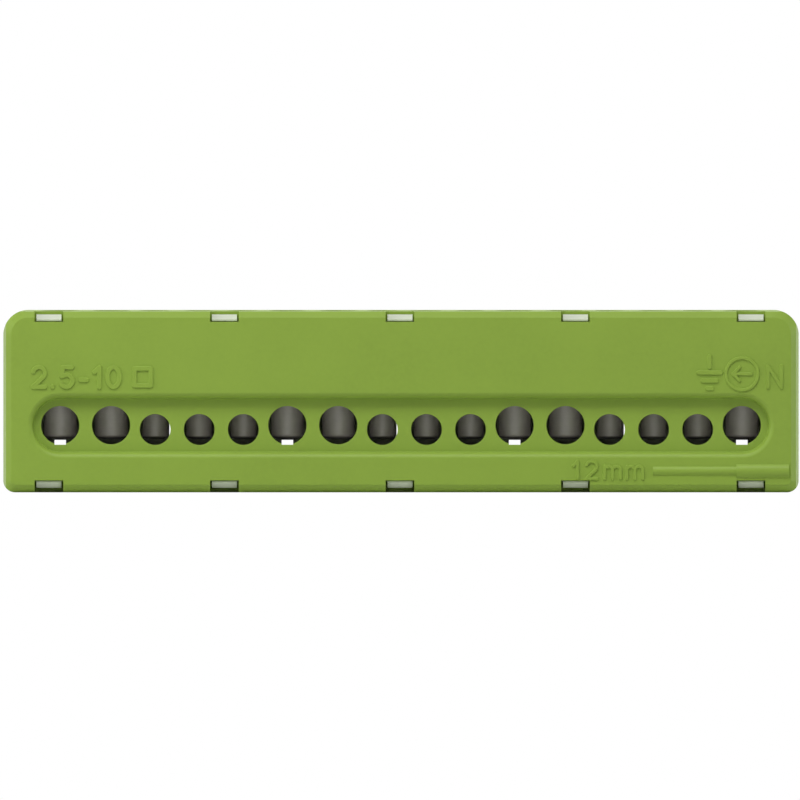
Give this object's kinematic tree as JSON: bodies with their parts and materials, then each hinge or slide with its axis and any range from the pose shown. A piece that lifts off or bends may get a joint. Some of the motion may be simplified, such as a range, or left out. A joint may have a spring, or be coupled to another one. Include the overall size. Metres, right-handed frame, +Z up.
{
  "type": "earth terminal bar",
  "caption": "Long green moulded terminal block with a recessed row of round wire entries in two sizes, a bored metal bar behind them and a clamp screw over each.",
  "frame": {"origin": "middle of the base that the part stands on", "axes": "+X along the row of terminals to the right as seen from the front, +Y from the front face to the back, +Z up through the clamp screws"},
  "size_m": [0.1142, 0.016, 0.0262],
  "materials": {
    "green_plastic": "fine satin moulded surface",
    "grey_plastic": "fine satin moulded surface",
    "brass": "drawn bar, drilled, tapped and tin plated",
    "screw_steel": "zinc plated turned steel"
  },
  "bodies": {
    "housing": {"front_cover": "green_plastic", "rear_carrier": "grey_plastic", "terminal_bar": "brass"},
    "screw_01": {"clamp_screw_01": "screw_steel"},
    "screw_02": {"clamp_screw_02": "screw_steel"},
    "screw_03": {"clamp_screw_03": "screw_steel"},
    "screw_04": {"clamp_screw_04": "screw_steel"},
    "screw_05": {"clamp_screw_05": "screw_steel"},
    "screw_06": {"clamp_screw_06": "screw_steel"},
    "screw_07": {"clamp_screw_07": "screw_steel"},
    "screw_08": {"clamp_screw_08": "screw_steel"},
    "screw_09": {"clamp_screw_09": "screw_steel"},
    "screw_10": {"clamp_screw_10": "screw_steel"},
    "screw_11": {"clamp_screw_11": "screw_steel"},
    "screw_12": {"clamp_screw_12": "screw_steel"},
    "screw_13": {"clamp_screw_13": "screw_steel"},
    "screw_14": {"clamp_screw_14": "screw_steel"},
    "screw_15": {"clamp_screw_15": "screw_steel"},
    "screw_16": {"clamp_screw_16": "screw_steel"}
  },
  "joints": [
    {"name": "screw_travel_01", "type": "slide", "parent": "housing", "child": "screw_01", "axis": [0, 0, 1], "range_m": [-0.00035, 0.00465]},
    {"name": "screw_travel_02", "type": "slide", "parent": "housing", "child": "screw_02", "axis": [0, 0, 1], "range_m": [-0.00035, 0.00465]},
    {"name": "screw_travel_03", "type": "slide", "parent": "housing", "child": "screw_03", "axis": [0, 0, 1], "range_m": [-0.00035, 0.00465]},
    {"name": "screw_travel_04", "type": "slide", "parent": "housing", "child": "screw_04", "axis": [0, 0, 1], "range_m": [-0.00035, 0.00465]},
    {"name": "screw_travel_05", "type": "slide", "parent": "housing", "child": "screw_05", "axis": [0, 0, 1], "range_m": [-0.00035, 0.00465]},
    {"name": "screw_travel_06", "type": "slide", "parent": "housing", "child": "screw_06", "axis": [0, 0, 1], "range_m": [-0.00035, 0.00465]},
    {"name": "screw_travel_07", "type": "slide", "parent": "housing", "child": "screw_07", "axis": [0, 0, 1], "range_m": [-0.00035, 0.00465]},
    {"name": "screw_travel_08", "type": "slide", "parent": "housing", "child": "screw_08", "axis": [0, 0, 1], "range_m": [-0.00035, 0.00465]},
    {"name": "screw_travel_09", "type": "slide", "parent": "housing", "child": "screw_09", "axis": [0, 0, 1], "range_m": [-0.00035, 0.00465]},
    {"name": "screw_travel_10", "type": "slide", "parent": "housing", "child": "screw_10", "axis": [0, 0, 1], "range_m": [-0.00035, 0.00465]},
    {"name": "screw_travel_11", "type": "slide", "parent": "housing", "child": "screw_11", "axis": [0, 0, 1], "range_m": [-0.00035, 0.00465]},
    {"name": "screw_travel_12", "type": "slide", "parent": "housing", "child": "screw_12", "axis": [0, 0, 1], "range_m": [-0.00035, 0.00465]},
    {"name": "screw_travel_13", "type": "slide", "parent": "housing", "child": "screw_13", "axis": [0, 0, 1], "range_m": [-0.00035, 0.00465]},
    {"name": "screw_travel_14", "type": "slide", "parent": "housing", "child": "screw_14", "axis": [0, 0, 1], "range_m": [-0.00035, 0.00465]},
    {"name": "screw_travel_15", "type": "slide", "parent": "housing", "child": "screw_15", "axis": [0, 0, 1], "range_m": [-0.00035, 0.00465]},
    {"name": "screw_travel_16", "type": "slide", "parent": "housing", "child": "screw_16", "axis": [0, 0, 1], "range_m": [-0.00035, 0.00465]}
  ]
}
